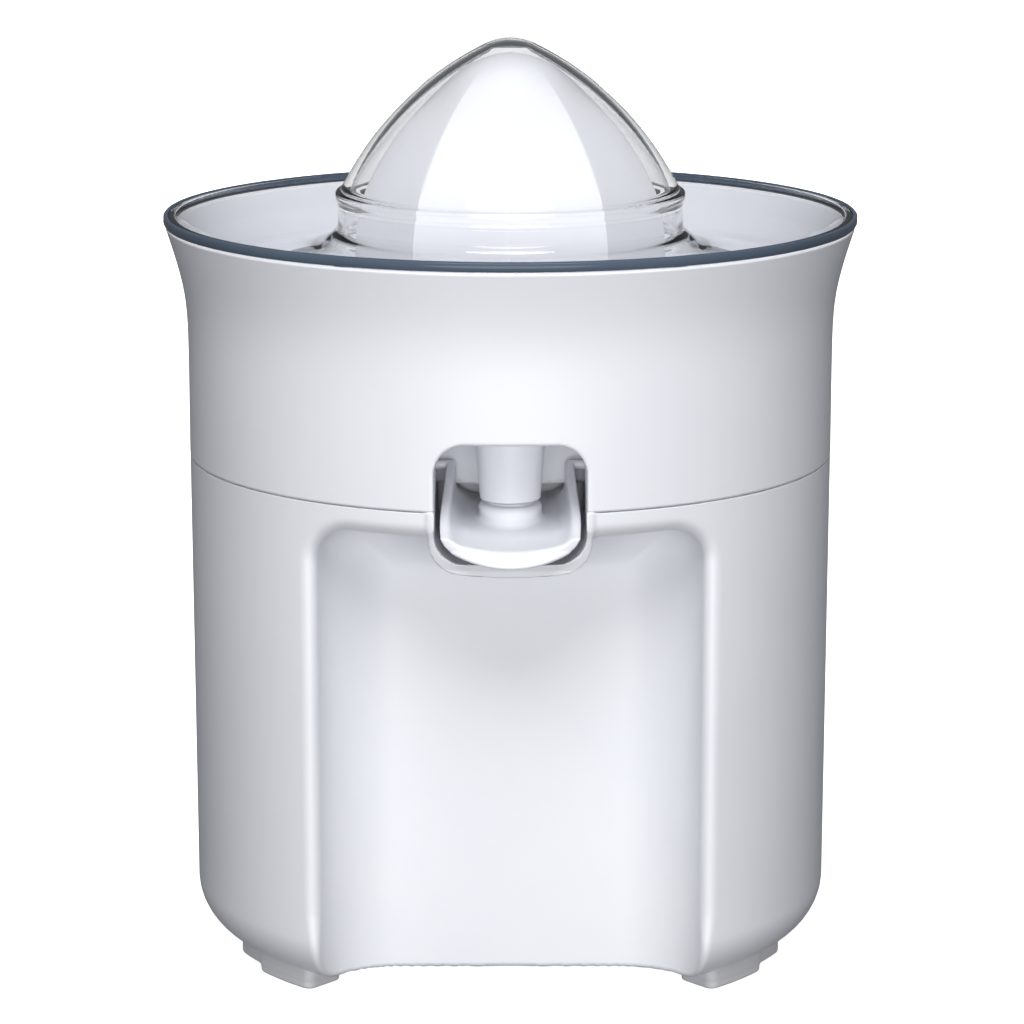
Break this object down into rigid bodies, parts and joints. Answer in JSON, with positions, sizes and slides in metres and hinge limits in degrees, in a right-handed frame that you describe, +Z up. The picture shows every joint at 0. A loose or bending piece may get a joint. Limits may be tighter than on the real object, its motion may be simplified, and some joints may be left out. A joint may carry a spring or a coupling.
{
  "type": "electric citrus press",
  "caption": "Round electric citrus press with a front glass recess, tilting spout, ridged reamer on a press-to-start hex drive and a clear lift-off cover.",
  "frame": {"origin": "on the floor plane of the feet, at the axis of the round body", "axes": "+Z up along the body axis, front with the glass recess and spout towards -Y, +X to the right of someone facing the back from the front"},
  "size_m": [0.178, 0.178, 0.2353],
  "materials": {
    "shell": "glossy cool white moulded plastic",
    "clear": "clear polished plastic, faint smoke-blue tint at the edges",
    "soft": "soft white rubber",
    "black_rubber": "matt black rubber",
    "black_plastic": "black glass-filled plastic",
    "nylon": "natural nylon",
    "steel": "zinc-plated or ground steel",
    "lamination": "stacked electrical steel sheets",
    "bronze": "sintered bronze",
    "copper": "enamelled copper wire",
    "red_plastic": "red switch plastic"
  },
  "bodies": {
    "base": {"base_housing": "shell", "bottom_plate": "shell", "foot_pads": "soft", "bottom_screws": "steel", "cord_inlet": "black_rubber", "gear_plate": "steel", "gear_plate_screws": "steel", "drive_bush": "bronze", "shaft_seal": "black_rubber", "thrust_washer": "nylon", "idler_axle": "steel", "stator_core": "lamination", "coil_bobbins": "nylon", "coil_windings": "copper", "upper_bracket": "steel", "lower_bracket": "steel", "motor_bushes": "bronze", "motor_screws": "steel", "switch_body": "black_plastic", "switch_screws": "steel", "terminal_block": "nylon"},
    "drive_wheel": {"output_gear": "nylon"},
    "spindle": {"drive_shaft": "steel", "drive_head": "shell", "shaft_clip": "steel", "return_spring": "steel"},
    "reamer": {"reamer_cone": "shell"},
    "idler": {"idler_gear": "nylon"},
    "rotor": {"rotor_core": "lamination", "rotor_shaft": "steel", "motor_pinion": "bronze"},
    "plunger": {"switch_plunger": "red_plastic"},
    "collector": {"juice_collector": "shell", "strainer": "shell"},
    "spout": {"spout_scoop": "shell", "drip_plug": "shell"},
    "cover": {"dust_cover": "clear"}
  },
  "joints": [
    {"name": "gear_spin", "type": "hinge", "parent": "base", "child": "drive_wheel", "pos_m": [0, 0, 0.1], "axis": [0, 0, 1], "continuous": true},
    {"name": "shaft_press", "type": "slide", "parent": "drive_wheel", "child": "spindle", "axis": [0, 0, -1], "range_m": [0, 0.0025], "stiffness_N_per_m": 1500, "springref_m": -0.004, "deforming": ["return_spring"]},
    {"name": "reamer_lift", "type": "slide", "parent": "spindle", "child": "reamer", "axis": [0, 0, 1], "range_m": [0, 0.09]},
    {"name": "idler_spin", "type": "hinge", "parent": "base", "child": "idler", "pos_m": [0.02012, 0.02691, 0.1], "axis": [0, 0, 1], "continuous": true},
    {"name": "rotor_spin", "type": "hinge", "parent": "base", "child": "rotor", "pos_m": [0, 0.04, 0.06], "axis": [0, 0, 1], "continuous": true},
    {"name": "switch_press", "type": "slide", "parent": "base", "child": "plunger", "axis": [0, 0, -1], "range_m": [0, 0.0025]},
    {"name": "collector_lift", "type": "slide", "parent": "base", "child": "collector", "axis": [0, 0, 1], "range_m": [0, 0.09]},
    {"name": "spout_tilt", "type": "hinge", "parent": "collector", "child": "spout", "pos_m": [0, -0.048, 0.134], "axis": [-1, 0, 0], "range_deg": [0, 4]},
    {"name": "cover_lift", "type": "slide", "parent": "collector", "child": "cover", "axis": [0, 0, 1], "range_m": [0, 0.12]}
  ],
  "couplings": [
    {"joint": "idler_spin", "follows": "gear_spin", "ratio": -5},
    {"joint": "rotor_spin", "follows": "gear_spin", "ratio": 20},
    {"joint": "switch_press", "follows": "shaft_press", "ratio": 1},
    {"joint": "reamer_lift", "follows": "collector_lift", "ratio": 1}
  ]
}
